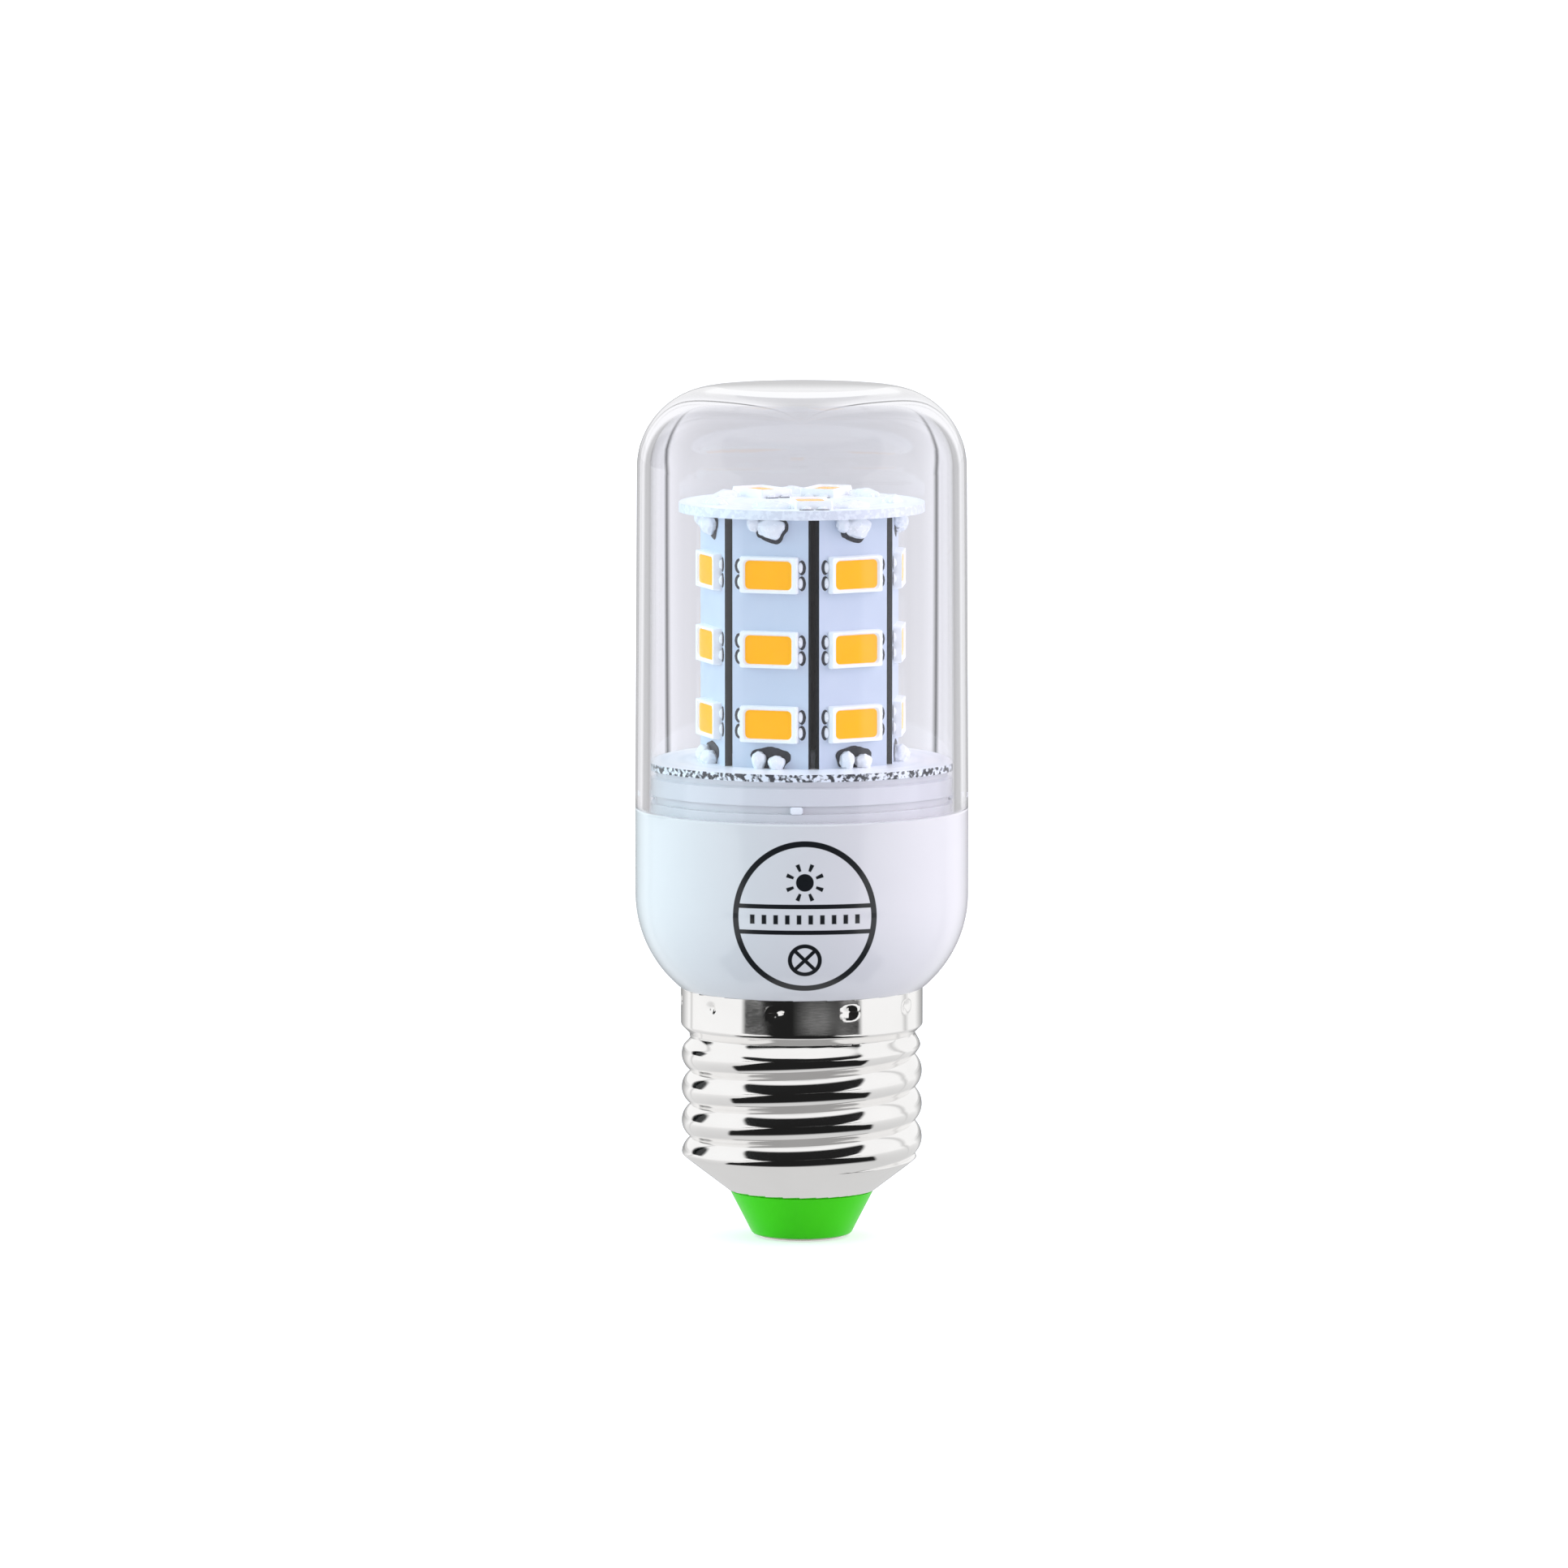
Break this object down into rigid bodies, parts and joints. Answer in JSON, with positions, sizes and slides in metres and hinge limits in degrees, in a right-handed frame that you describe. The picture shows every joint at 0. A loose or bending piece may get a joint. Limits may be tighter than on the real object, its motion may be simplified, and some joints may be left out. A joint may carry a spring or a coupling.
{
  "type": "corn led bulb",
  "caption": "Cylindrical corn bulb: faceted column of white boards with yellow LED packages in a clear cover, on a white housing with an E27 screw cap.",
  "frame": {"origin": "middle of the underside of the centre contact, the lowest point of the upright bulb", "axes": "+Z along the bulb's axis, from the centre contact up through the clear cover; -Y is the front of the picture and +X its right"},
  "size_m": [0.0362, 0.0362, 0.0926],
  "materials": {
    "nickel_shell": "nickel-plated sheet, polished",
    "green_insulator": "glossy moulded insulator",
    "contact_metal": "plated brass",
    "white_housing": "glossy moulded plastic",
    "clear_cover": "clear moulded plastic",
    "board_white": "white solder mask on laminate",
    "package_white": "moulded LED frame",
    "phosphor_yellow": "phosphor in clear resin",
    "solder": "bright tin solder",
    "driver_laminate": "green solder mask on laminate",
    "can_sleeve": "shrink sleeve on an aluminium can",
    "dropper_case": "resin-dipped film capacitor",
    "chip_black": "moulded epoxy",
    "resistor_body": "lacquered resistor body",
    "wire_sleeve": "insulated lead",
    "pin_metal": "plated header pin"
  },
  "bodies": {
    "root": {"base_board": "board_white", "bleed_resistor": "chip_black", "bridge_rectifier": "chip_black", "cap_insulator": "green_insulator", "centre_contact": "contact_metal", "clear_cover": "clear_cover", "driver_board": "driver_laminate", "dropper_capacitor": "dropper_case", "fuse_resistor": "resistor_body", "housing": "white_housing", "led_1_1": "package_white", "led_1_2": "package_white", "led_1_3": "package_white", "led_2_1": "package_white", "led_2_2": "package_white", "led_2_3": "package_white", "led_3_1": "package_white", "led_3_2": "package_white", "led_3_3": "package_white", "led_4_1": "package_white", "led_4_2": "package_white", "led_4_3": "package_white", "led_5_1": "package_white", "led_5_2": "package_white", "led_5_3": "package_white", "led_6_1": "package_white", "led_6_2": "package_white", "led_6_3": "package_white", "led_7_1": "package_white", "led_7_2": "package_white", "led_7_3": "package_white", "led_pin_minus": "pin_metal", "led_pin_plus": "pin_metal", "led_top_1": "package_white", "led_top_2": "package_white", "led_top_3": "package_white", "live_lead": "wire_sleeve", "neutral_lead": "wire_sleeve", "phosphor_1": "phosphor_yellow", "phosphor_2": "phosphor_yellow", "phosphor_3": "phosphor_yellow", "phosphor_4": "phosphor_yellow", "phosphor_5": "phosphor_yellow", "phosphor_6": "phosphor_yellow", "phosphor_7": "phosphor_yellow", "phosphor_top": "phosphor_yellow", "screw_shell": "nickel_shell", "side_board_1": "board_white", "side_board_2": "board_white", "side_board_3": "board_white", "side_board_4": "board_white", "side_board_5": "board_white", "side_board_6": "board_white", "side_board_7": "board_white", "smoothing_capacitor": "can_sleeve", "solder_base": "solder", "solder_top": "solder", "top_board": "board_white"}
  },
  "joints": []
}
